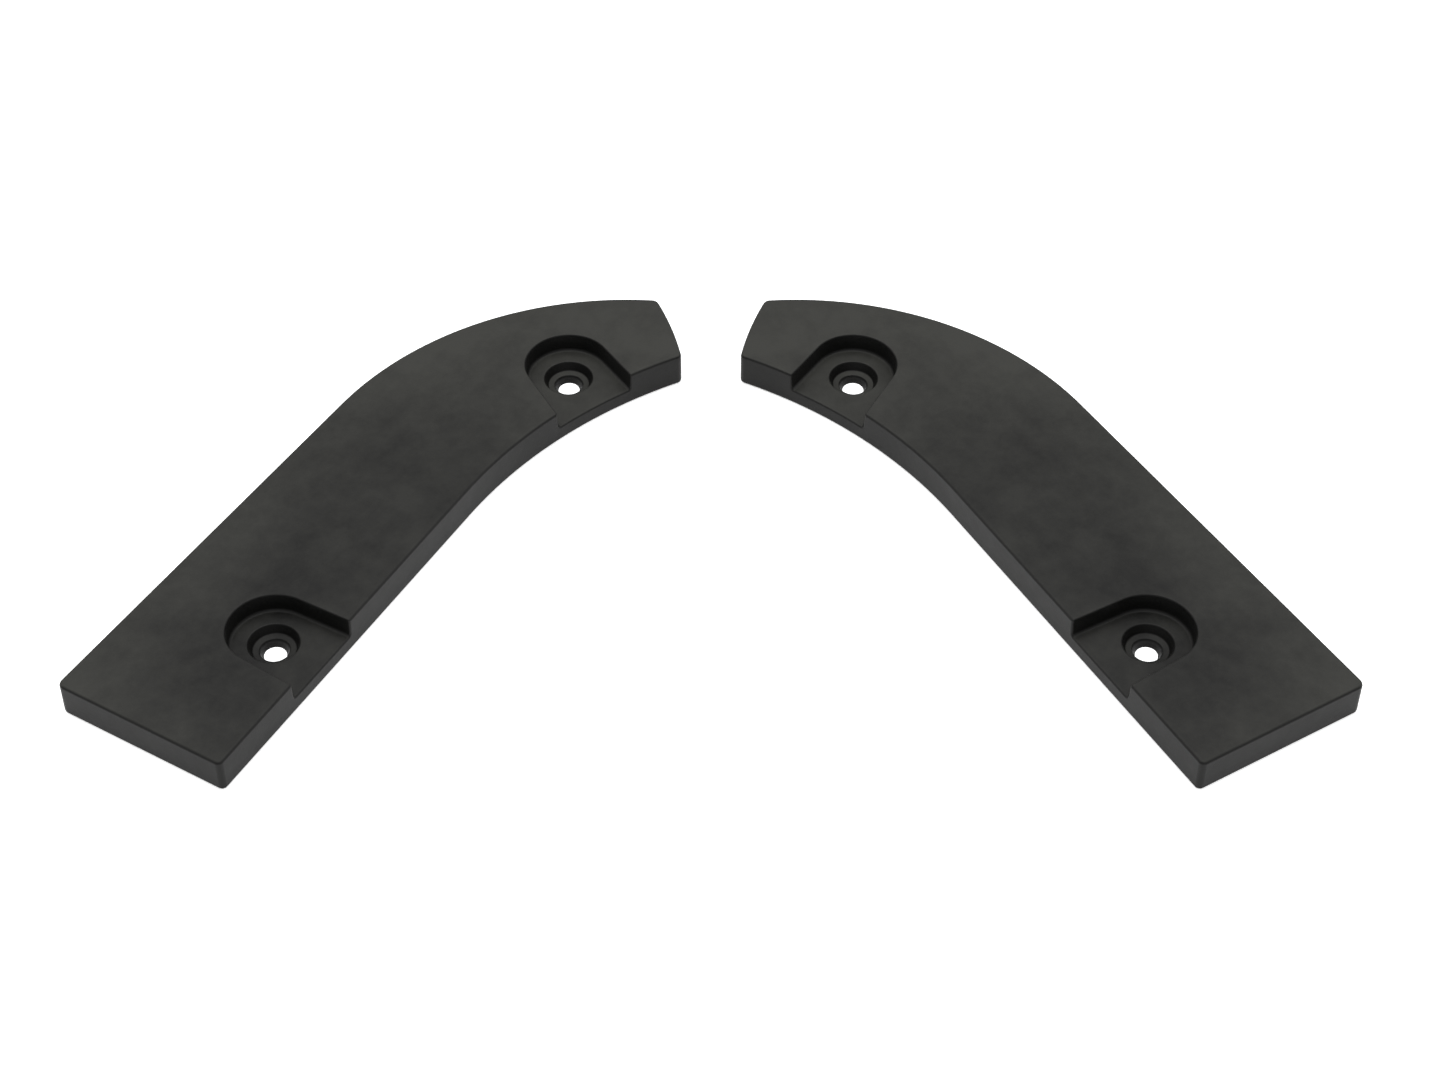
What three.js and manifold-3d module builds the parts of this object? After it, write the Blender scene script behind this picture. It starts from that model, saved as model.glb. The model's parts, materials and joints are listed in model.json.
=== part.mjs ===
// A handed pair of flat moulded-rubber guards for a skate blade, lying on their undersides.
// Millimetres, +Z up. X runs across the pair, which is a mirror image about X = 0.
//
// Each guard is first drawn in its own plan: the first bolt is at (0, 0), x runs from the
// square end to the angled end, and y from the hollow inner edge to the rounded outer edge.
// An outline is a list of { x, y, nx, ny } points, where (nx, ny) is the unit normal that
// points out of the solid, so that a wall with a draft or a rounded edge is the same outline
// moved along its normals.

import * as THREE from 'three';
import { mergeVertices } from 'three/addons/utils/BufferGeometryUtils.js';
import Module from 'manifold-3d';

const DEG = Math.PI / 180;

// Plan of a guard, measured from its first bolt
const THICKNESS = 10.4;
const SQUARE_END = 43.9; // first bolt to the square end
const OUTER_OFFSET = 35.4; // first bolt to the outer edge
const INNER_OFFSET = 16; // first bolt to the inner edge
const INNER_TAPER = 1.2 * DEG; // the straight inner edge closes on the outer one
const STRAIGHT_RUN = 79.4; // first bolt to where the outer edge starts to curve
const OUTER_BEND_RADIUS = 91.8;
const OUTER_BEND_SWEEP = 64.6 * DEG;
const INNER_BEND_LEAD = 10.2; // the inner edge starts to curve this much sooner
const INNER_BEND_RADIUS = 135.5;
const INNER_BEND_SWEEP = 33.85 * DEG;
const END_CROWN = 0.75; // how far the angled end bows out

// Rounding of the four upright corners and of the edges around the faces
const SQUARE_OUTER_CORNER = 2.2;
const SQUARE_INNER_CORNER = 1.6;
const ANGLED_OUTER_CORNER = 2;
const ANGLED_INNER_CORNER = 1.6;
const TOP_EDGE_RADIUS = 0.8;
const BOTTOM_EDGE_RADIUS = 1;

// Stepped bolt seats: a pocket open to the inner edge, a counterbore and a through hole
const BOLT_LAND = 2.2; // rubber left under the screw head
const COUNTERBORE_DEPTH = 2.6;
const POCKET_RADIUS = 12.1;
const POCKET_DRAFT = 3 * DEG;
const POCKET_FLOOR_FILLET = 0.9;
const POCKET_RIM_RADIUS = 0.4;
const COUNTERBORE_RIM_RADIUS = 6.9;
const COUNTERBORE_SEAT_RADIUS = 5.8;
const COUNTERBORE_FILLET = 0.4;
const HOLE_TOP_RADIUS = 4.05;
const HOLE_BOTTOM_RADIUS = 3;
// How far the two walls beside a mouth open outwards, on the square and the angled side
const POCKET_FLARE = { square: 4.6 * DEG, angled: 0.7 * DEG };
const SECOND_BOLT_SWEEP = 22.2 * DEG; // how far round the inner bend the second bolt is
const SECOND_BOLT_INSET = 14.6; // inner edge to the second bolt
const SECOND_POCKET_TURN = 4.8 * DEG; // its mouth turns this far towards the square end

// How the pair lies
const GUARD_TURN = 59 * DEG; // straight outer edge to the X axis
const PAIR_GAP = 17; // between the two angled ends

// Fineness of the curves
const BEND_STEP = 3 * DEG;
const CORNER_STEP = 22.5 * DEG;
const POCKET_STEP = 7.5 * DEG;
const HOLE_SIDES = 40;
const FILLET_STEPS = 3;
const CUT_CLEARANCE = 1; // how far a cutter runs past the face that it opens

const RUBBER_COLOUR = 0x3c3d3b;

// Vector helpers on plain { x, y }
const heading = (angle) => ({ x: Math.cos(angle), y: Math.sin(angle) });
const along = (point, direction, distance) => ({
	x: point.x + direction.x * distance,
	y: point.y + direction.y * distance,
});
const angleOf = (direction) => Math.atan2(direction.y, direction.x);

// A point of an outline that is walked clockwise, where the outside is on the left
const outlinePoint = (point, walk) => ({
	x: point.x,
	y: point.y,
	nx: -Math.sin(walk),
	ny: Math.cos(walk),
});

// A stretch of an outline, straight or turning clockwise with a positive radius and
// anticlockwise with a negative one. It knows its start, its heading and its length.
function straight(start, walk, length) {
	return { start, walk, length, radius: Infinity };
}

function bend(start, walk, radius, sweep) {
	return { start, walk, length: Math.abs(radius) * sweep, radius };
}

function walkAt(stretch, distance) {
	return stretch.walk - distance / stretch.radius;
}

function pointAt(stretch, distance) {
	if (!Number.isFinite(stretch.radius)) {
		return along(stretch.start, heading(stretch.walk), distance);
	}
	const toCentre = heading(stretch.walk - Math.PI / 2);
	const centre = along(stretch.start, toCentre, stretch.radius);
	const fromCentre = heading(walkAt(stretch, distance) + Math.PI / 2);
	return along(centre, fromCentre, stretch.radius);
}

// The shallow bow that joins two points and stands proud of their chord by its crown
function crownedStretch(from, to, crown) {
	const chord = Math.hypot(to.x - from.x, to.y - from.y);
	const direction = angleOf({ x: to.x - from.x, y: to.y - from.y });
	const radius = (chord * chord) / (8 * crown) + crown / 2;
	const halfSweep = Math.asin(chord / (2 * radius));
	return bend(from, direction + halfSweep, radius, 2 * halfSweep);
}

// Joins the stretches end to end, and rounds the corner after each by its own radius
function roundedOutline(stretches, cornerRadii, step) {
	const turns = stretches.map((stretch, i) => {
		const next = stretches[(i + 1) % stretches.length];
		const turn = walkAt(stretch, stretch.length) - next.walk;
		return turn - 2 * Math.PI * Math.floor((turn + Math.PI) / (2 * Math.PI));
	});
	const setbacks = turns.map((turn, i) => cornerRadii[i] * Math.tan(turn / 2));
	const outline = [];
	stretches.forEach((stretch, i) => {
		const first = setbacks[(i + stretches.length - 1) % stretches.length];
		const last = stretch.length - setbacks[i];
		const swept = (last - first) / Math.abs(stretch.radius);
		const count = Math.max(1, Math.ceil(swept / step));
		for (let k = 0; k <= count; k += 1) {
			const distance = first + ((last - first) * k) / count;
			outline.push(outlinePoint(pointAt(stretch, distance), walkAt(stretch, distance)));
		}
		if (turns[i] < 1e-6) {
			outline.pop(); // the next stretch starts here, on the same tangent
			return;
		}
		const corner = bend(pointAt(stretch, last), walkAt(stretch, last), cornerRadii[i], turns[i]);
		const cornerCount = Math.ceil(turns[i] / CORNER_STEP);
		for (let k = 1; k < cornerCount; k += 1) {
			const distance = (corner.length * k) / cornerCount;
			outline.push(outlinePoint(pointAt(corner, distance), walkAt(corner, distance)));
		}
	});
	return outline;
}

// The two long edges of the plan, each walked from the square end
function longEdges() {
	const outerStart = { x: -SQUARE_END, y: OUTER_OFFSET };
	const outerStraight = straight(outerStart, 0, SQUARE_END + STRAIGHT_RUN);
	const outerBendStart = pointAt(outerStraight, outerStraight.length);
	const outerBend = bend(outerBendStart, 0, OUTER_BEND_RADIUS, OUTER_BEND_SWEEP);

	const innerStart = { x: -SQUARE_END, y: -INNER_OFFSET - SQUARE_END * Math.tan(INNER_TAPER) };
	const innerLength = (SQUARE_END + STRAIGHT_RUN - INNER_BEND_LEAD) / Math.cos(INNER_TAPER);
	const innerStraight = straight(innerStart, INNER_TAPER, innerLength);
	const innerBendStart = pointAt(innerStraight, innerStraight.length);
	const innerBend = bend(innerBendStart, INNER_TAPER, INNER_BEND_RADIUS, INNER_BEND_SWEEP);
	return { outerStraight, outerBend, innerStraight, innerBend };
}

// The same stretch walked the other way
function reversed(stretch) {
	const end = pointAt(stretch, stretch.length);
	const walk = walkAt(stretch, stretch.length) + Math.PI;
	return { start: end, walk, length: stretch.length, radius: -stretch.radius };
}

function guardOutline() {
	const { outerStraight, outerBend, innerStraight, innerBend } = longEdges();
	const outerTip = pointAt(outerBend, outerBend.length);
	const innerTip = pointAt(innerBend, innerBend.length);
	const angledEnd = crownedStretch(outerTip, innerTip, END_CROWN);
	const heel = innerStraight.start;
	const squareEnd = straight(heel, Math.PI / 2, outerStraight.start.y - heel.y);
	const stretches = [
		outerStraight,
		outerBend,
		angledEnd,
		reversed(innerBend),
		reversed(innerStraight),
		squareEnd,
	];
	const corners = [
		0,
		ANGLED_OUTER_CORNER,
		ANGLED_INNER_CORNER,
		0,
		SQUARE_INNER_CORNER,
		SQUARE_OUTER_CORNER,
	];
	return roundedOutline(stretches, corners, BEND_STEP);
}

// Where each bolt goes, and which way its pocket opens. A seat's mouth is the angle of
// the way out of its pocket, and its reach is how far off the inner edge is.
function boltSeats() {
	const { innerBend } = longEdges();
	const distance = SECOND_BOLT_SWEEP * INNER_BEND_RADIUS;
	const edge = pointAt(innerBend, distance);
	const squareToEdge = walkAt(innerBend, distance) - Math.PI / 2;
	const second = along(edge, heading(squareToEdge), -SECOND_BOLT_INSET);
	return [
		{ x: 0, y: 0, mouth: INNER_TAPER - Math.PI / 2, reach: INNER_OFFSET },
		{ ...second, mouth: squareToEdge - SECOND_POCKET_TURN, reach: SECOND_BOLT_INSET },
	];
}

// The pocket's rim: round behind the bolt, then two flared walls out past the inner edge
function pocketOutline(seat) {
	const runOut = seat.reach + POCKET_RADIUS / 2;
	const centre = { x: seat.x, y: seat.y };
	const squareSide = seat.mouth - Math.PI / 2 - POCKET_FLARE.square;
	const sweep = Math.PI - POCKET_FLARE.square - POCKET_FLARE.angled;
	const count = Math.ceil(sweep / POCKET_STEP);
	const round = Array.from({ length: count + 1 }, (_, k) => {
		const angle = squareSide - (sweep * k) / count;
		return outlinePoint(along(centre, heading(angle), POCKET_RADIUS), angle - Math.PI / 2);
	});
	const runPast = (foot, walk, distance) =>
		outlinePoint(along(foot, heading(walk), distance), walk);
	return [
		runPast(round[0], squareSide - Math.PI / 2, -runOut),
		...round,
		runPast(round[count], squareSide - sweep - Math.PI / 2, runOut),
	];
}

// Turns an outline and a list of { z, out } levels, from the lowest up, into a closed
// geometry: at each level the outline is moved out along its normals by out.
function loft(outline, levels) {
	const count = outline.length;
	const positions = [];
	levels.forEach(({ z, out }) => {
		outline.forEach((p) => positions.push(p.x + p.nx * out, p.y + p.ny * out, z));
	});
	const indices = [];
	for (let level = 0; level < levels.length - 1; level += 1) {
		for (let i = 0; i < count; i += 1) {
			const a = level * count + i;
			const b = level * count + ((i + 1) % count);
			indices.push(a, a + count, b, b, a + count, b + count);
		}
	}
	const topStart = (levels.length - 1) * count;
	const capAt = (start) => {
		const ring = outline.map((p, i) => {
			const at = 3 * (start + i);
			return new THREE.Vector2(positions[at], positions[at + 1]);
		});
		return THREE.ShapeUtils.triangulateShape(ring, []);
	};
	// The outline runs clockwise, and a cap's triangles may come either way round
	const pushCap = (start, upward) => {
		capAt(start).forEach(([a, b, c]) => {
			const at = (i) => [positions[3 * (start + i)], positions[3 * (start + i) + 1]];
			const [[ax, ay], [bx, by], [cx, cy]] = [at(a), at(b), at(c)];
			const anticlockwise = (bx - ax) * (cy - ay) - (by - ay) * (cx - ax) > 0;
			const ordered = anticlockwise === upward ? [a, b, c] : [a, c, b];
			ordered.forEach((i) => indices.push(start + i));
		});
	};
	pushCap(0, false);
	pushCap(topStart, true);
	const geometry = new THREE.BufferGeometry();
	geometry.setAttribute('position', new THREE.Float32BufferAttribute(positions, 3));
	geometry.setIndex(indices);
	return geometry;
}

// Levels of a quarter-round from an angle of 0 to 90 degrees, as fractions of its radius
function quarterRound() {
	const steps = Array.from({ length: FILLET_STEPS + 1 }, (_, k) => (k / FILLET_STEPS) * 90 * DEG);
	return steps.map((angle) => ({ run: 1 - Math.cos(angle), rise: Math.sin(angle) }));
}

function guardBodyGeometry() {
	const bottom = quarterRound().map(({ run, rise }) => ({
		z: BOTTOM_EDGE_RADIUS * run,
		out: BOTTOM_EDGE_RADIUS * (rise - 1),
	}));
	const top = quarterRound().map(({ run, rise }) => ({
		z: THICKNESS - TOP_EDGE_RADIUS * (1 - rise),
		out: -TOP_EDGE_RADIUS * run,
	}));
	return loft(guardOutline(), [...bottom, ...top]);
}

function pocketGeometry(seat) {
	const floor = BOLT_LAND + COUNTERBORE_DEPTH;
	const depth = THICKNESS - floor;
	const fillet = Math.min(POCKET_FLOOR_FILLET, depth / 2);
	const rim = Math.min(POCKET_RIM_RADIUS, depth / 4);
	const draftAt = (z) => -(THICKNESS - z) * Math.tan(POCKET_DRAFT);
	const low = quarterRound().map(({ run, rise }) => ({
		z: floor + fillet * run,
		out: draftAt(floor + fillet) - fillet * (1 - rise),
	}));
	const high = quarterRound().map(({ run, rise }) => ({
		z: THICKNESS - rim * (1 - rise),
		out: draftAt(THICKNESS - rim) + rim * run,
	}));
	const over = { z: THICKNESS + CUT_CLEARANCE, out: high[high.length - 1].out };
	return loft(pocketOutline(seat), [...low, ...high, over]);
}

// Counterbore and tapered hole in one turned cutter, closed on its axis
function boltCutGeometry(seat) {
	const seatZ = BOLT_LAND;
	const floor = BOLT_LAND + COUNTERBORE_DEPTH;
	const slope = (COUNTERBORE_RIM_RADIUS - COUNTERBORE_SEAT_RADIUS) / COUNTERBORE_DEPTH;
	const profile = [
		[0, -CUT_CLEARANCE],
		[HOLE_BOTTOM_RADIUS, -CUT_CLEARANCE],
		[HOLE_BOTTOM_RADIUS, 0],
		[HOLE_TOP_RADIUS, seatZ],
		[COUNTERBORE_SEAT_RADIUS - COUNTERBORE_FILLET, seatZ],
		[COUNTERBORE_SEAT_RADIUS, seatZ + COUNTERBORE_FILLET],
		[COUNTERBORE_RIM_RADIUS, floor],
		[COUNTERBORE_RIM_RADIUS + slope * CUT_CLEARANCE, floor + CUT_CLEARANCE],
		[0, floor + CUT_CLEARANCE],
	];
	const points = profile.map(([radius, z]) => new THREE.Vector2(radius, z));
	const geometry = new THREE.LatheGeometry(points, HOLE_SIDES);
	geometry.rotateX(Math.PI / 2);
	geometry.translate(seat.x, seat.y, 0);
	return geometry;
}

const wasm = await Module();
wasm.setup();

function toSolid(geometry) {
	const bare = geometry.clone();
	bare.deleteAttribute('normal');
	bare.deleteAttribute('uv');
	const merged = mergeVertices(bare, 1e-4);
	return new wasm.Manifold(
		new wasm.Mesh({
			numProp: 3,
			vertProperties: new Float32Array(merged.attributes.position.array),
			triVerts: new Uint32Array(merged.index.array),
		}),
	);
}

function toGeometry(solid) {
	const { vertProperties, triVerts, numProp } = solid.getMesh();
	const positions = new Float32Array((vertProperties.length / numProp) * 3);
	for (let i = 0; i < positions.length / 3; i += 1) {
		for (let k = 0; k < 3; k += 1) positions[3 * i + k] = vertProperties[numProp * i + k];
	}
	const geometry = new THREE.BufferGeometry();
	geometry.setAttribute('position', new THREE.BufferAttribute(positions, 3));
	geometry.setIndex(Array.from(triVerts));
	return geometry;
}

function guardGeometry() {
	let solid = toSolid(guardBodyGeometry());
	boltSeats().forEach((seat) => {
		solid = solid.subtract(toSolid(pocketGeometry(seat)));
		solid = solid.subtract(toSolid(boltCutGeometry(seat)));
	});
	return toGeometry(solid);
}

// The other hand: x is reversed, and so is each triangle, which keeps the faces outward
function mirrored(geometry) {
	const other = geometry.clone();
	const { position } = other.attributes;
	for (let i = 0; i < position.count; i += 1) position.setX(i, -position.getX(i));
	const index = Array.from(other.index.array);
	for (let i = 0; i < index.length; i += 3) {
		[index[i + 1], index[i + 2]] = [index[i + 2], index[i + 1]];
	}
	other.setIndex(index);
	return other;
}

// Where the left guard's first bolt goes, so that the gap is right and the pair is centred
function leftPlacement() {
	const turned = guardOutline().map((p) => ({
		x: p.x * Math.cos(GUARD_TURN) - p.y * Math.sin(GUARD_TURN),
		y: p.x * Math.sin(GUARD_TURN) + p.y * Math.cos(GUARD_TURN),
	}));
	const highX = Math.max(...turned.map((p) => p.x));
	const lowY = Math.min(...turned.map((p) => p.y));
	const highY = Math.max(...turned.map((p) => p.y));
	return { x: -PAIR_GAP / 2 - highX, y: -(lowY + highY) / 2 };
}

function guardMesh(name, geometry, place, turn) {
	geometry.computeVertexNormals();
	const material = new THREE.MeshStandardMaterial({
		color: RUBBER_COLOUR,
		roughness: 0.6,
		metalness: 0,
	});
	const mesh = new THREE.Mesh(geometry, material);
	mesh.name = name;
	mesh.position.set(place.x, place.y, 0);
	mesh.rotation.z = turn;
	return mesh;
}

const bladeGuards = new THREE.Group();
const leftGeometry = guardGeometry();
const left = leftPlacement();
bladeGuards.add(guardMesh('left_guard', leftGeometry, left, GUARD_TURN));
bladeGuards.add(
	guardMesh('right_guard', mirrored(leftGeometry), { x: -left.x, y: left.y }, -GUARD_TURN),
);

export default bladeGuards;
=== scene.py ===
import json
from collections import namedtuple
from math import asin, atan2, ceil, cos, pi, radians, sin, tan

import bmesh
import bpy
from bpy.props import FloatProperty, FloatVectorProperty, PointerProperty
from mathutils import Matrix, Vector


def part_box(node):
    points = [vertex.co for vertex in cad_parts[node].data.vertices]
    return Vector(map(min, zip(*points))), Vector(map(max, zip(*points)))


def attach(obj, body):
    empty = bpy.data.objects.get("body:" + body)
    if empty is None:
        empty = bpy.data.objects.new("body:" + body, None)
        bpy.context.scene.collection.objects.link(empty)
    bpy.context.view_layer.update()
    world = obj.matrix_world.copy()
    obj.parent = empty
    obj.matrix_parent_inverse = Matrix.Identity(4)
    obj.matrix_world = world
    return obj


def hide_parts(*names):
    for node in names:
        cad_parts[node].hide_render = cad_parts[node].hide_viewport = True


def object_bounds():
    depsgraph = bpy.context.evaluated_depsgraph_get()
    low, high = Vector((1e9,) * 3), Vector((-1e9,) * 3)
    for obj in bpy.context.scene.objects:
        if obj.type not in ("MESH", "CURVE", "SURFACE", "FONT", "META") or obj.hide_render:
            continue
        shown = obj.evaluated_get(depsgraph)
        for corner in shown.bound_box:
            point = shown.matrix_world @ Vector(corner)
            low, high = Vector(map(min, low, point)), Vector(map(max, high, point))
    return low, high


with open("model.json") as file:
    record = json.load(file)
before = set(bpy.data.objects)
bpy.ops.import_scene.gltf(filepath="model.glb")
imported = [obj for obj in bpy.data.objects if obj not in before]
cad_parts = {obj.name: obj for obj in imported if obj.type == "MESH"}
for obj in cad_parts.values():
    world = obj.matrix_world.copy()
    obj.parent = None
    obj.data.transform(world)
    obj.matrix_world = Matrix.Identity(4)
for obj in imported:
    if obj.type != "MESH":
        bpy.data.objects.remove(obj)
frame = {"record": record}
cad_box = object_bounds()

bl_info = {
    "name": "Skate Blade Guards",
    "version": (1, 0, 0),
    "blender": (4, 5, 0),
    "location": "3D View > Sidebar > Blade Guards",
    "description": "A handed pair of bolt-on moulded-rubber guards for a skate blade",
    "category": "Object",
}

# A guard is drawn in its own plan: the first bolt is at the origin, x runs from the square end
# to the angled end and y from the hollow inner edge to the rounded outer edge. Z is up.
MM = 0.001
UP = Vector((0, 0, 1))

# Fineness of the curves
BEND_STEP = radians(1.3)
POCKET_STEP = radians(3)
HOLE_STEPS = 96
CORNER_SEGMENTS = 8
FILLET_SEGMENTS = 6
EDGE_SEGMENTS = 4

CUT_CLEARANCE = 1 * MM  # how far a cutter runs past the face that it opens
SAME_PLACE = 0.02 * MM  # points nearer than this are one point
UNIT_ROUNDING = 1 * MM  # the edge radius that a bevel weight of 1 stands for
SHARP_EDGE = radians(25)  # faces that meet at less than this are one smooth face
MOSTLY_VERTICAL = 0.9  # share of a unit vector that makes an edge upright or a face level

# How the bloom and the painted sheen lie on the rubber
PATCH_SHARE = 0.6  # how much of the cloudiness comes from the patches, the rest from the clouds
CLEAR, CLOUDED = 0.35, 0.65  # cloudiness at which there is no bloom and the most of it
CLOUD_BLOOM = 0.5
# Painted sheen: the bloom's grey laid on thicker towards the outer edge and both ends, so that the
# top face is paler there as a sheen from the light would make it
OUTER_EDGE_SHEEN = 0.4
SQUARE_END_SHEEN = 0.3
ANGLED_END_SHEEN = 0.7
LEVEL_ENOUGH = 0.7  # a face turned further from level than this has no bloom and no painted sheen

# Relief of the rubber's surface
RIPPLE_HEIGHT = 0.12 * MM
GRAIN_HEIGHT = 0.03 * MM
RUBBER_IOR = 1.5

# The studio, in metres
FLOOR_HALF_WIDTH = 6
OVERHEAD_PLACE = Vector((0, 0.2, 1.05))
FRONT_PLACE = Vector((0, -0.8, 0.85))
SIDE_PLACE = Vector((1.1, 0.35, 0.35))
LARGE_SOFTBOX = 1
SMALL_SOFTBOX = 0.6
SENSOR_WIDTH_MM = 36
NEAREST_SEEN = 0.01
WHITE = (1, 1, 1, 1)


def opening_centre(name):
    """The middle of one of the openings that the frame's record lists."""
    openings = frame["record"]["physics"]["openings"]
    low, high = next(opening["box_m"] for opening in openings if opening["name"] == name)
    return (Vector(low) + Vector(high)) / 2


def mount_height(name):
    """How high one of the flat faces that the frame's record lists lies."""
    return next(mount["pos_m"][2] for mount in frame["record"]["mounts"] if mount["name"] == name)


def linear(hex_colour):
    """Turns an sRGB hex colour into the linear colour that Blender's sockets take."""
    channels = [int(hex_colour[i : i + 2], 16) / 255 for i in (1, 3, 5)]
    return [c / 12.92 if c <= 0.04045 else ((c + 0.055) / 1.055) ** 2.4 for c in channels]


# ---------------------------------------------------------------- what a user would change


def length(name, millimetres, description):
    return FloatProperty(
        name=name,
        description=description,
        default=millimetres * MM,
        min=0,
        precision=5,
        subtype="DISTANCE",
        unit="LENGTH",
    )


def angle(name, degrees, description):
    return FloatProperty(
        name=name,
        description=description,
        default=radians(degrees),
        subtype="ANGLE",
        unit="ROTATION",
    )


def amount(name, value, description):
    return FloatProperty(name=name, description=description, default=value, min=0)


def power(name, watts, description):
    return FloatProperty(
        name=name, description=description, default=watts, min=0, unit="POWER"
    )


def colour(name, hex_colour, description):
    return FloatVectorProperty(
        name=name,
        description=description,
        default=linear(hex_colour),
        min=0,
        max=1,
        size=3,
        subtype="COLOR",
    )


left_low, left_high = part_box("left_guard")


class GuardPlan(bpy.types.PropertyGroup):
    """The outline of a guard, measured from its first bolt."""

    thickness: length("Thickness", (left_high.z - left_low.z) / MM, "Underside to top face")
    square_end: length("Square end", 43.9, "First bolt to the square end")
    outer_offset: length("Outer edge", 35.4, "First bolt to the straight outer edge")
    inner_offset: length("Inner edge", 16, "First bolt to the inner edge")
    inner_taper: angle("Inner taper", 1.2, "How the straight inner edge closes on the outer one")
    straight_run: length("Straight run", 79.4, "First bolt to where the outer edge curves")
    outer_radius: length("Outer bend", 91.8, "Radius of the rounded outer edge")
    outer_sweep: angle("Outer sweep", 64.6, "How far the outer edge bends round")
    inner_lead: length("Inner lead", 10.2, "How much sooner the inner edge starts to curve")
    inner_radius: length("Inner bend", 135.5, "Radius of the hollow inner edge")
    inner_sweep: angle("Inner sweep", 33.85, "How far the inner edge bends round")
    end_crown: length("End crown", 0.75, "How far the angled end bows out")
    square_outer_corner: length("Square outer corner", 2.2, "Radius of the upright corner")
    square_inner_corner: length("Square inner corner", 1.6, "Radius of the upright corner")
    angled_outer_corner: length("Angled outer corner", 2, "Radius of the upright corner")
    angled_inner_corner: length("Angled inner corner", 1.6, "Radius of the upright corner")


class BoltSeatSizes(bpy.types.PropertyGroup):
    """The stepped seat around each bolt: a pocket, a counterbore and a tapered hole."""

    land: length("Land", mount_height("left_square_end_bolt_seat") / MM, "Rubber under the head")
    counterbore_depth: length("Counterbore depth", 2.6, "Pocket floor to the screw's seat")
    pocket_radius: length("Pocket radius", 12.1, "Radius of the pocket at the top face")
    pocket_draft: angle("Pocket draft", 3, "Lean of the pocket's wall")
    pocket_fillet: length("Pocket fillet", 0.9, "Radius where the pocket's wall meets its floor")
    counterbore_rim: length("Counterbore rim", 6.9, "Radius at the pocket's floor")
    counterbore_seat: length("Counterbore seat", 5.8, "Radius at the screw's seat")
    hole_top: length("Hole top", 4.05, "Radius of the hole at the screw's seat")
    hole_bottom: length("Hole bottom", 3, "Radius of the hole at the underside")
    square_flare: angle("Flare, square side", 4.6, "How far that wall of a mouth opens outwards")
    angled_flare: angle("Flare, angled side", 0.7, "How far that wall of a mouth opens outwards")
    second_sweep: angle("Second bolt", 22.2, "How far round the inner bend the second bolt is")
    second_inset: length("Second bolt inset", 14.6, "Inner edge to the second bolt")
    second_turn: angle("Second mouth", 4.8, "How far it turns towards the square end")


class EdgeRadii(bpy.types.PropertyGroup):
    """How round the mould left each edge."""

    top: length("Top", 0.8, "Around the top face")
    bottom: length("Bottom", 1, "Around the underside")
    pocket_rim: length("Pocket rim", 0.45, "Where the pocket opens in the top face")
    pocket_mouth: length("Pocket mouth", 0.6, "Where the pocket's wall ends at the inner edge")
    pocket_sill: length("Pocket sill", 0.6, "Where the pocket's floor ends at the inner edge")
    counterbore: length("Counterbore", 0.3, "Around the counterbore, above and below")
    hole: length("Hole", 0.25, "Where the hole starts in the screw's seat")


class RubberFinish(bpy.types.PropertyGroup):
    """Colours and pattern sizes of the moulded rubber."""

    black: colour("Rubber", "#080807", "Carbon-black rubber")
    # The grey of the cloudy bloom, which is also the grey of the painted sheen
    bloom_and_sheen_grey: colour("Bloom", "#2C2C29", "Wax that has come to the surface, a grey film")
    # How far in the painted sheen reaches from the outer edge, the square end and the angled end
    sheen_outer: length("Bloom at the outer edge", 26, "How far in from that edge it reaches")
    sheen_square: length("Bloom at the square end", 26, "How far in from that end it reaches")
    sheen_angled: length("Bloom at the angled end", 80, "How far in from that end it reaches")
    cloud: length("Clouds", 34, "Width of the broad lighter and darker areas")
    patch: length("Patches", 7, "Width of the blotches in the bloom")
    grain: length("Grain", 0.55, "Width of the grain that the mould's blasted face left")
    ripple: length("Ripple", 9, "Width of the unevenness from shrinking in the mould")
    gloss: amount("Gloss", 0.17, "Strength of the reflection, where 0.5 is plain plastic")
    smoothest: amount("Smoothest", 0.46, "Roughness where the rubber is shiniest")
    roughest: amount("Roughest", 0.56, "Roughness where the rubber is dullest")


class StageSetup(bpy.types.PropertyGroup):
    """The floor, the lights and the camera."""

    floor: colour("Floor", "#F4F4F4", "Plain pale floor")
    floor_glow: amount("Floor glow", 0.55, "Light that comes up through the floor")
    room_light: amount("Room light", 0.7, "Even light from all round")
    overhead_power: power("Overhead", 10, "Power of the softbox above the guards")
    side_power: power("Sides", 3, "Power of each softbox beside the guards")
    front_power: power("Front", 2, "Power of the softbox above the camera")
    camera_distance: length("Camera distance", 788, "Camera to the point it looks at")
    camera_elevation: angle("Camera elevation", 45.349, "Camera above the floor")
    camera_focus: length("Looks in front of the centre", 11.061, "Where the camera looks")
    focal_length: FloatProperty(
        name="Focal length",
        description="Of the camera's lens, on a sensor 36 mm wide",
        default=73.67,
        min=1,
        subtype="DISTANCE_CAMERA",
        unit="CAMERA",
    )
    shift: amount("Shift", 0.00796, "How far the frame is slid sideways, in frame widths")


# ---------------------------------------------------------------- shaping


def toward(heading):
    """The unit vector in the plan that has this angle from x."""
    return Vector((cos(heading), sin(heading), 0))


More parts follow.
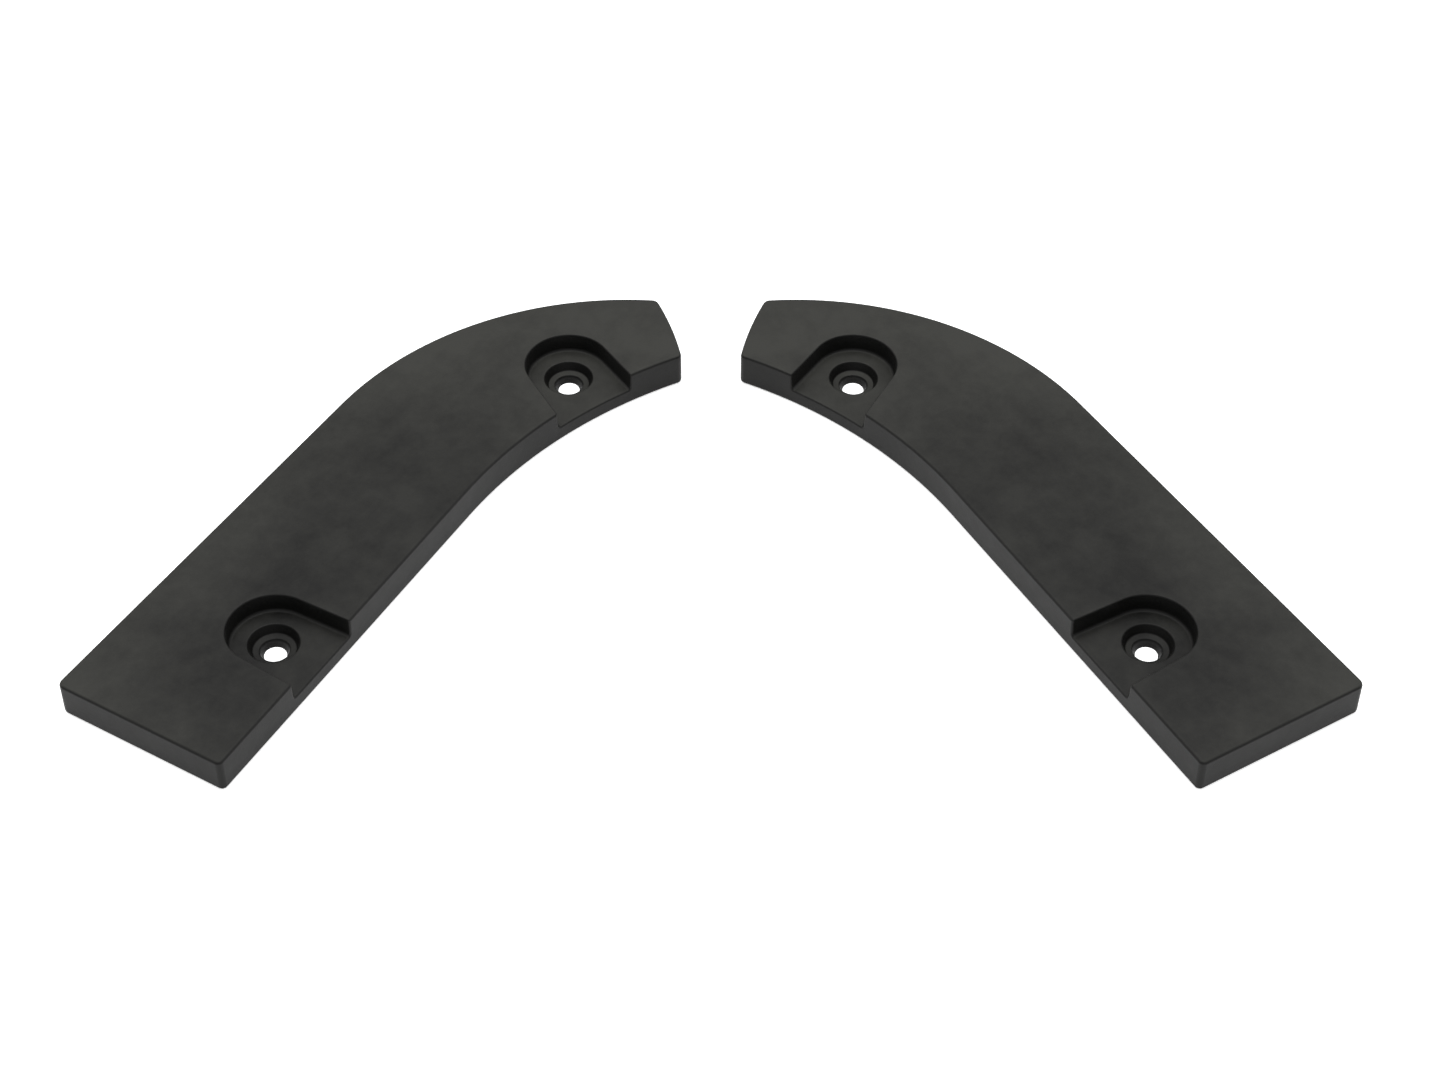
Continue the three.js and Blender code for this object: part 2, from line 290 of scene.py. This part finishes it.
class Pen:
    """Draws a chain of edges in a bmesh from a start point, as straight runs and arcs."""

    def __init__(self, bm, start, heading):
        self.bm = bm
        self.start = self.tip = bm.verts.new(start)
        self.heading = heading

    def run(self, distance):
        made = bmesh.ops.extrude_vert_indiv(self.bm, verts=[self.tip])
        self.tip = made["verts"][0]
        bmesh.ops.translate(self.bm, verts=[self.tip], vec=toward(self.heading) * distance)

    def bend(self, radius, sweep, step=BEND_STEP):
        """Turns to the right by the sweep."""
        made = bmesh.ops.spin(
            self.bm,
            geom=[self.tip],
            cent=self.tip.co + toward(self.heading - pi / 2) * radius,
            axis=UP,
            angle=-sweep,
            steps=ceil(sweep / step),
        )
        self.tip = next(v for v in made["geom_last"] if isinstance(v, bmesh.types.BMVert))
        self.heading -= sweep

    def close(self):
        bmesh.ops.contextual_create(self.bm, geom=[self.tip, self.start])


def heel(plan):
    """The sharp corner where the square end meets the inner edge."""
    return Vector((-plan.square_end, -plan.inner_offset - plan.square_end * tan(plan.inner_taper), 0))


def inner_run(plan):
    """Length of the straight part of the inner edge."""
    return (plan.square_end + plan.straight_run - plan.inner_lead) / cos(plan.inner_taper)


Seat = namedtuple("Seat", "centre mouth reach")


def bolt_seats(plan, sizes):
    """Where each bolt goes, the way its pocket opens, and how far off the inner edge is."""
    bend_start = heel(plan) + toward(plan.inner_taper) * inner_run(plan)
    bend_centre = bend_start + toward(plan.inner_taper - pi / 2) * plan.inner_radius
    to_edge = plan.inner_taper - sizes.second_sweep - pi / 2
    second = bend_centre - toward(to_edge) * (plan.inner_radius + sizes.second_inset)
    return [
        Seat(Vector((0, 0, 0)), plan.inner_taper - pi / 2, plan.inner_offset),
        Seat(second, to_edge - sizes.second_turn, sizes.second_inset),
    ]


def upright_edge(bm, place):
    """The upright edge that stands nearest to a place in the plan."""
    upright = [
        e
        for e in bm.edges
        if abs((e.verts[0].co - e.verts[1].co).normalized().z) > MOSTLY_VERTICAL
    ]
    return min(upright, key=lambda e: (e.verts[0].co.xy - place.xy).length)


def guard_slab(plan):
    """The guard without its bolt seats, with its four upright corners rounded."""
    bm = bmesh.new()
    outer = Pen(bm, Vector((-plan.square_end, plan.outer_offset, 0)), 0)
    outer.run(plan.square_end + plan.straight_run)
    outer.bend(plan.outer_radius, plan.outer_sweep)
    inner = Pen(bm, heel(plan), plan.inner_taper)
    inner.run(inner_run(plan))
    inner.bend(plan.inner_radius, plan.inner_sweep)
    chord = inner.tip.co - outer.tip.co
    crown_radius = chord.length_squared / (8 * plan.end_crown) + plan.end_crown / 2
    half_sweep = asin(chord.length / 2 / crown_radius)
    corners = [
        (outer.start.co.copy(), plan.square_outer_corner),
        (outer.tip.co.copy(), plan.angled_outer_corner),
        (inner.tip.co.copy(), plan.angled_inner_corner),
        (inner.start.co.copy(), plan.square_inner_corner),
    ]
    end = Pen(bm, outer.tip.co, atan2(chord.y, chord.x) + half_sweep)
    end.bend(crown_radius, 2 * half_sweep)
    bmesh.ops.contextual_create(bm, geom=[outer.start, inner.start])
    bmesh.ops.remove_doubles(bm, verts=bm.verts, dist=SAME_PLACE)
    bmesh.ops.contextual_create(bm, geom=bm.edges[:])
    made = bmesh.ops.extrude_face_region(bm, geom=bm.faces[:])
    top = [v for v in made["geom"] if isinstance(v, bmesh.types.BMVert)]
    bmesh.ops.translate(bm, verts=top, vec=UP * plan.thickness)
    bmesh.ops.recalc_face_normals(bm, faces=bm.faces)
    for place, radius in corners:
        edge = upright_edge(bm, place)
        bmesh.ops.bevel(
            bm,
            geom=[edge],
            offset=radius * tan(edge.calc_face_angle() / 2),
            offset_type="OFFSET",
            segments=CORNER_SEGMENTS,
            profile=0.5,
            affect="EDGES",
            material=-1,
        )
    return bm


def draw_pocket(bm, seat, sizes, radius, height):
    """A pocket's outline at one height: a wall, the round behind the bolt and a wall."""
    run_out = seat.reach + radius / 2
    square_side = seat.mouth - pi / 2 - sizes.square_flare
    foot = seat.centre + toward(square_side) * radius + UP * height
    pen = Pen(bm, foot - toward(square_side - pi / 2) * run_out, square_side - pi / 2)
    pen.run(run_out)
    pen.bend(radius, pi - sizes.square_flare - sizes.angled_flare, POCKET_STEP)
    pen.run(run_out)
    pen.close()


def pocket_cutters(plan, sizes):
    """What the mould's cores fill in each pocket: a drafted block with a rounded lower edge."""
    bm = bmesh.new()
    floor = sizes.land + sizes.counterbore_depth
    over = plan.thickness + CUT_CLEARANCE
    for seat in bolt_seats(plan, sizes):
        before = set(bm.edges)
        for height in (floor, over):
            lean = (plan.thickness - height) * tan(sizes.pocket_draft)
            draw_pocket(bm, seat, sizes, sizes.pocket_radius - lean, height)
        loops = [e for e in bm.edges if e not in before]
        bmesh.ops.bridge_loops(bm, edges=loops)
    bmesh.ops.holes_fill(bm, edges=bm.edges, sides=0)
    bmesh.ops.recalc_face_normals(bm, faces=bm.faces)
    low = [e for e in bm.edges if all(abs(v.co.z - floor) < SAME_PLACE for v in e.verts)]
    bmesh.ops.bevel(
        bm,
        geom=low,
        offset=sizes.pocket_fillet,
        offset_type="OFFSET",
        segments=FILLET_SEGMENTS,
        profile=0.5,
        affect="EDGES",
        material=-1,
    )
    return bm


def bolt_cutters(plan, sizes):
    """The turned core of each bolt: the counterbore above and the tapered hole below."""
    bm = bmesh.new()
    floor = sizes.land + sizes.counterbore_depth
    slope = (sizes.counterbore_rim - sizes.counterbore_seat) / sizes.counterbore_depth
    taper = (sizes.hole_top - sizes.hole_bottom) / sizes.land
    profile = [
        (0, -CUT_CLEARANCE),
        (sizes.hole_bottom - taper * CUT_CLEARANCE, -CUT_CLEARANCE),
        (sizes.hole_top, sizes.land),
        (sizes.counterbore_seat, sizes.land),
        (sizes.counterbore_rim + slope * CUT_CLEARANCE, floor + CUT_CLEARANCE),
        (0, floor + CUT_CLEARANCE),
    ]
    for seat in bolt_seats(plan, sizes):
        verts = [bm.verts.new(seat.centre + Vector((radius, 0, z))) for radius, z in profile]
        edges = [bm.edges.new(pair) for pair in zip(verts, verts[1:])]
        bmesh.ops.spin(
            bm,
            geom=verts + edges,
            cent=seat.centre,
            axis=UP,
            angle=2 * pi,
            steps=HOLE_STEPS,
            use_merge=True,
        )
    bmesh.ops.remove_doubles(bm, verts=bm.verts, dist=SAME_PLACE / 10)
    bmesh.ops.recalc_face_normals(bm, faces=bm.faces)
    return bm


def object_from(bm, name):
    """A new object with the bmesh's shape, at the origin."""
    mesh = bpy.data.meshes.new(name)
    bm.to_mesh(mesh)
    bm.free()
    piece = bpy.data.objects.new(name, mesh)
    bpy.context.scene.collection.objects.link(piece)
    return piece


def moulded_shape(plan, sizes):
    """The slab with both bolt seats cut into it, every edge still sharp, as a bmesh."""
    slab = object_from(guard_slab(plan), "slab")
    cutters = [
        object_from(pocket_cutters(plan, sizes), "pocket_cutters"),
        object_from(bolt_cutters(plan, sizes), "bolt_cutters"),
    ]
    for cutter in cutters:
        cut = slab.modifiers.new(cutter.name, "BOOLEAN")
        cut.operation = "DIFFERENCE"
        cut.solver = "EXACT"
        cut.object = cutter
    cut_slab = slab.evaluated_get(bpy.context.evaluated_depsgraph_get())
    bm = bmesh.new()
    bm.from_mesh(cut_slab.to_mesh())
    cut_slab.to_mesh_clear()
    for scrap in (slab, *cutters):
        mesh = scrap.data
        bpy.data.objects.remove(scrap)
        bpy.data.meshes.remove(mesh)
    bmesh.ops.remove_doubles(bm, verts=bm.verts, dist=SAME_PLACE / 10)
    return bm


def rounding_of(edge, plan, sizes, radii, seats):
    """The radius that an edge is rounded to, or 0 for a line within a smooth face."""
    if len(edge.link_faces) != 2 or edge.calc_face_angle() < SHARP_EDGE:
        return 0
    heights = [v.co.z for v in edge.verts]
    middle = (edge.verts[0].co + edge.verts[1].co) / 2
    from_bolt = min((middle - seat.centre).xy.length for seat in seats)
    slopes = [abs(face.normal.z) for face in edge.link_faces]
    leans = max(slope for slope in slopes if slope < MOSTLY_VERTICAL)

    def lies_at(height):
        return all(abs(z - height) < SAME_PLACE for z in heights)

    if from_bolt < (sizes.hole_top + sizes.counterbore_seat) / 2:
        return 0 if lies_at(0) else radii.hole
    if from_bolt < sizes.counterbore_rim + SAME_PLACE:
        return radii.counterbore
    if lies_at(0):
        return radii.bottom
    if lies_at(plan.thickness):
        return radii.pocket_rim if leans > sin(sizes.pocket_draft) / 2 else radii.top
    if lies_at(sizes.land + sizes.counterbore_depth):
        return radii.pocket_sill
    return radii.pocket_mouth


def weigh_edges(bm, plan, sizes, radii):
    """Gives each sharp edge the bevel weight that stands for its rounding."""
    seats = bolt_seats(plan, sizes)
    weights = bm.edges.layers.float.new("bevel_weight_edge")
    for edge in bm.edges:
        edge[weights] = rounding_of(edge, plan, sizes, radii, seats) / UNIT_ROUNDING


def plan_to_frame(plan, sizes):
    """Turns and moves the left guard's plan so that its bolts stand where the frame has them."""
    first = opening_centre("left_square_end_bolt_hole")
    across = opening_centre("left_angled_end_bolt_hole") - first
    second = bolt_seats(plan, sizes)[1].centre
    turn = atan2(across.y, across.x) - atan2(second.y, second.x)
    return Matrix.Translation((first.x, first.y, 0)) @ Matrix.Rotation(turn, 4, "Z")


def finish_guard(guard, node, rubber):
    """Rounds the edges, gives the rubber and ties the guard to its node and body."""
    guard.data.shade_smooth()
    rounding = guard.modifiers.new("Rounded edges", "BEVEL")
    rounding.limit_method = "WEIGHT"
    rounding.width = UNIT_ROUNDING
    rounding.segments = EDGE_SEGMENTS
    rounding.use_clamp_overlap = False
    rounding.miter_outer = "MITER_ARC"
    flats = guard.modifiers.new("Flat faces stay flat", "WEIGHTED_NORMAL")
    flats.keep_sharp = True
    guard.data.materials.append(rubber)
    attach(guard, node)
    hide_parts(node)


# ---------------------------------------------------------------- finish


def add_node(tree, kind, inputs, **settings):
    """Adds a node with its settings; an input is a value or the socket that feeds it."""
    node = tree.nodes.new(kind)
    for name, value in settings.items():
        setattr(node, name, value)
    for name, value in inputs.items():
        if isinstance(value, bpy.types.NodeSocket):
            tree.links.new(value, node.inputs[name])
        else:
            node.inputs[name].default_value = value
    return node


def moulded_rubber(name, finish, plan, to_frame, hand):
    """Carbon-black natural rubber, compression moulded in a blasted steel mould: a satin near-black
    with a grain that is felt more than seen. The faces that lie open to the air have a faint grey
    bloom, which is cloudy. The same grey is laid on thicker towards the outer edge and the two ends
    as painted sheen, so the top is paler there as if the light shone on it.
    Hand is 1 for the left guard and -1 for the right one, whose pattern is mirrored."""
    material = bpy.data.materials.new(name)
    material.use_nodes = True
    tree = material.node_tree
    tree.nodes.clear()
    to_plan = to_frame.inverted()
    coordinates = add_node(tree, "ShaderNodeTexCoord", {})
    place = add_node(
        tree,
        "ShaderNodeMapping",
        {
            "Vector": coordinates.outputs["Object"],
            "Location": to_plan.to_translation(),
            "Rotation": to_plan.to_euler(),
            "Scale": (hand, 1, 1),
        },
    ).outputs["Vector"]
    clouds = add_node(
        tree,
        "ShaderNodeTexNoise",
        {"Vector": place, "Scale": 1 / finish.cloud, "Detail": 3, "Roughness": 0.55},
    )
    patches = add_node(
        tree,
        "ShaderNodeTexNoise",
        {"Vector": place, "Scale": 1 / finish.patch, "Detail": 5, "Roughness": 0.65},
    )
    cloudiness = add_node(
        tree,
        "ShaderNodeMix",
        {0: PATCH_SHARE, 2: clouds.outputs["Fac"], 3: patches.outputs["Fac"]},
        data_type="FLOAT",
    )
    # The bloom itself: a cloudy grey film at random places
    bloom_and_sheen_amount = add_node(
        tree,
        "ShaderNodeMapRange",
        {
            "Value": cloudiness.outputs[0],
            "From Min": CLEAR,
            "From Max": CLOUDED,
            "To Max": CLOUD_BLOOM,
        },
    ).outputs[0]
    across = add_node(tree, "ShaderNodeSeparateXYZ", {"Vector": place})
    angled_end = inner_run(plan) + plan.inner_radius * sin(plan.inner_sweep) - plan.square_end
    # Painted sheen: the film grows towards the outer edge and both ends, paler there as if the light
    # shone on it
    for axis, edge, reach, most in (
        ("Y", plan.outer_offset, finish.sheen_outer, OUTER_EDGE_SHEEN),
        ("X", -plan.square_end, -finish.sheen_square, SQUARE_END_SHEEN),
        ("X", angled_end, finish.sheen_angled, ANGLED_END_SHEEN),
    ):
        painted_sheen = add_node(
            tree,
            "ShaderNodeMapRange",
            {
                "Value": across.outputs[axis],
                "From Min": edge - reach,
                "From Max": edge,
                "To Max": most,
            },
        )
        bloom_and_sheen_amount = add_node(
            tree, "ShaderNodeMath", {0: bloom_and_sheen_amount, 1: painted_sheen.outputs[0]}, operation="ADD"
        ).outputs[0]
    shape = add_node(tree, "ShaderNodeNewGeometry", {})
    facing = add_node(tree, "ShaderNodeSeparateXYZ", {"Vector": shape.outputs["Normal"]})
    lies_open = add_node(
        tree,
        "ShaderNodeMapRange",
        {"Value": facing.outputs["Z"], "From Min": LEVEL_ENOUGH, "From Max": 1, "To Max": 1},
    )
    # Both the bloom and the painted sheen lie only on level faces
    bloom_and_sheen_amount = add_node(
        tree, "ShaderNodeMath", {0: bloom_and_sheen_amount, 1: lies_open.outputs[0]}, operation="MULTIPLY"
    ).outputs[0]
    base = add_node(
        tree,
        "ShaderNodeMix",
        {0: bloom_and_sheen_amount, 6: (*finish.black, 1), 7: (*finish.bloom_and_sheen_grey, 1)},
        data_type="RGBA",
    )
    gloss = add_node(
        tree,
        "ShaderNodeMapRange",
        {
            "Value": patches.outputs["Fac"],
            "To Min": finish.smoothest,
            "To Max": finish.roughest,
        },
    )
    ripple = add_node(
        tree,
        "ShaderNodeTexNoise",
        {"Vector": place, "Scale": 1 / finish.ripple, "Detail": 2, "Roughness": 0.5},
    )
    grain = add_node(
        tree,
        "ShaderNodeTexNoise",
        {"Vector": place, "Scale": 1 / finish.grain, "Detail": 3, "Roughness": 0.6},
    )
    rippled = add_node(
        tree,
        "ShaderNodeBump",
        {"Height": ripple.outputs["Fac"], "Strength": 1, "Distance": RIPPLE_HEIGHT},
    )
    grained = add_node(
        tree,
        "ShaderNodeBump",
        {
            "Height": grain.outputs["Fac"],
            "Strength": 1,
            "Distance": GRAIN_HEIGHT,
            "Normal": rippled.outputs["Normal"],
        },
    )
    shader = add_node(
        tree,
        "ShaderNodeBsdfPrincipled",
        {
            "Base Color": base.outputs[2],
            "Roughness": gloss.outputs[0],
            "IOR": RUBBER_IOR,
            "Specular IOR Level": finish.gloss,
            "Normal": grained.outputs["Normal"],
        },
    )
    add_node(tree, "ShaderNodeOutputMaterial", {"Surface": shader.outputs["BSDF"]})
    return material


def light_table(floor_colour, glow):
    """A matt opal acrylic sheet that is also lit from below: an even pale ground with no
    gloss, on which shadows stay faint."""
    material = bpy.data.materials.new("light_table")
    material.use_nodes = True
    shader = material.node_tree.nodes["Principled BSDF"]
    shader.inputs["Base Color"].default_value = (*floor_colour, 1)
    shader.inputs["Roughness"].default_value = 1
    shader.inputs["Specular IOR Level"].default_value = 0
    shader.inputs["Emission Color"].default_value = (*floor_colour, 1)
    shader.inputs["Emission Strength"].default_value = glow
    return material


# ---------------------------------------------------------------- operators


class BLADE_GUARDS_OT_left_guard(bpy.types.Operator):
    """Model the left guard, with its bolt seats and its rounded edges"""

    bl_idname = "blade_guards.left_guard"
    bl_label = "Left Guard"
    bl_options = {"REGISTER", "UNDO"}

    def execute(self, context):
        settings = context.scene
        plan, sizes = settings.guard_plan, settings.bolt_seat_sizes
        bm = moulded_shape(plan, sizes)
        weigh_edges(bm, plan, sizes, settings.edge_radii)
        to_frame = plan_to_frame(plan, sizes)
        bmesh.ops.transform(bm, matrix=to_frame, verts=bm.verts)
        guard = object_from(bm, "left_rubber_guard")
        rubber = moulded_rubber(
            "moulded_rubber_left", settings.rubber_finish, plan, to_frame, 1
        )
        finish_guard(guard, "left_guard", rubber)
        return {"FINISHED"}


class BLADE_GUARDS_OT_right_guard(bpy.types.Operator):
    """Model the right guard, which is the left one mirrored"""

    bl_idname = "blade_guards.right_guard"
    bl_label = "Right Guard"
    bl_options = {"REGISTER", "UNDO"}

    def execute(self, context):
        settings = context.scene
        left = bpy.data.objects["left_rubber_guard"]
        bm = bmesh.new()
        bm.from_mesh(left.data)
        bmesh.ops.scale(bm, vec=(-1, 1, 1), verts=bm.verts)
        bmesh.ops.recalc_face_normals(bm, faces=bm.faces)
        guard = object_from(bm, "right_rubber_guard")
        plan = settings.guard_plan
        to_frame = plan_to_frame(plan, settings.bolt_seat_sizes)
        rubber = moulded_rubber(
            "moulded_rubber_right", settings.rubber_finish, plan, to_frame, -1
        )
        finish_guard(guard, "right_guard", rubber)
        return {"FINISHED"}


def softbox(name, place, target, size, watts):
    """A square area light that faces a point."""
    light = bpy.data.lights.new(name, "AREA")
    light.shape = "SQUARE"
    light.size = size
    light.energy = watts
    lamp = bpy.data.objects.new(name, light)
    lamp.location = place
    lamp.rotation_euler = (target - place).to_track_quat("-Z", "Y").to_euler()
    bpy.context.scene.collection.objects.link(lamp)


class BLADE_GUARDS_OT_stage(bpy.types.Operator):
    """Set up the pale floor, the soft lights and the camera"""

    bl_idname = "blade_guards.stage"
    bl_label = "Stage"
    bl_options = {"REGISTER", "UNDO"}

    def execute(self, context):
        setup = context.scene.stage_setup
        low, high = cad_box
        centre = (low + high) / 2

        bm = bmesh.new()
        bmesh.ops.create_grid(bm, x_segments=1, y_segments=1, size=FLOOR_HALF_WIDTH)
        bmesh.ops.translate(bm, verts=bm.verts, vec=UP * low.z)
        floor = object_from(bm, "floor")
        floor.data.materials.append(light_table(setup.floor, setup.floor_glow))

        world = bpy.data.worlds.new("studio")
        world.use_nodes = True
        background = world.node_tree.nodes["Background"]
        background.inputs["Color"].default_value = WHITE
        background.inputs["Strength"].default_value = setup.room_light
        context.scene.world = world
        other_side = SIDE_PLACE * Vector((-1, 1, 1))
        softbox("overhead", OVERHEAD_PLACE, centre, LARGE_SOFTBOX, setup.overhead_power)
        softbox("left_side", other_side, centre, SMALL_SOFTBOX, setup.side_power)
        softbox("right_side", SIDE_PLACE, centre, SMALL_SOFTBOX, setup.side_power)
        softbox("front", FRONT_PLACE, centre, LARGE_SOFTBOX, setup.front_power)

        lens = bpy.data.cameras.new("camera")
        lens.sensor_width = SENSOR_WIDTH_MM
        lens.lens = setup.focal_length
        lens.shift_x = setup.shift
        lens.clip_start = NEAREST_SEEN
        camera = bpy.data.objects.new("camera", lens)
        target = Vector((0, -setup.camera_focus, high.z))
        back = Vector((0, -cos(setup.camera_elevation), sin(setup.camera_elevation)))
        camera.location = target + back * setup.camera_distance
        camera.rotation_euler = (-back).to_track_quat("-Z", "Y").to_euler()
        context.scene.collection.objects.link(camera)
        context.scene.camera = camera
        context.scene.view_settings.view_transform = "Standard"
        return {"FINISHED"}


class BLADE_GUARDS_PT_sidebar(bpy.types.Panel):
    """Lists the operators in the order that they are used"""

    bl_idname = "BLADE_GUARDS_PT_sidebar"
    bl_label = "Blade Guards"
    bl_space_type = "VIEW_3D"
    bl_region_type = "UI"
    bl_category = "Blade Guards"

    def draw(self, context):
        for operator in OPERATORS:
            self.layout.operator(operator.bl_idname)


PROPERTY_GROUPS = {
    "guard_plan": GuardPlan,
    "bolt_seat_sizes": BoltSeatSizes,
    "edge_radii": EdgeRadii,
    "rubber_finish": RubberFinish,
    "stage_setup": StageSetup,
}
OPERATORS = (BLADE_GUARDS_OT_left_guard, BLADE_GUARDS_OT_right_guard, BLADE_GUARDS_OT_stage)


def register():
    for name, group in PROPERTY_GROUPS.items():
        bpy.utils.register_class(group)
        setattr(bpy.types.Scene, name, PointerProperty(type=group))
    for operator in OPERATORS:
        bpy.utils.register_class(operator)
    bpy.utils.register_class(BLADE_GUARDS_PT_sidebar)


def unregister():
    bpy.utils.unregister_class(BLADE_GUARDS_PT_sidebar)
    for operator in reversed(OPERATORS):
        bpy.utils.unregister_class(operator)
    for name, group in reversed(PROPERTY_GROUPS.items()):
        delattr(bpy.types.Scene, name)
        bpy.utils.unregister_class(group)


def main():
    register()
    bpy.ops.blade_guards.left_guard()
    bpy.ops.blade_guards.right_guard()
    bpy.ops.blade_guards.stage()


if __name__ == "__main__":
    main()
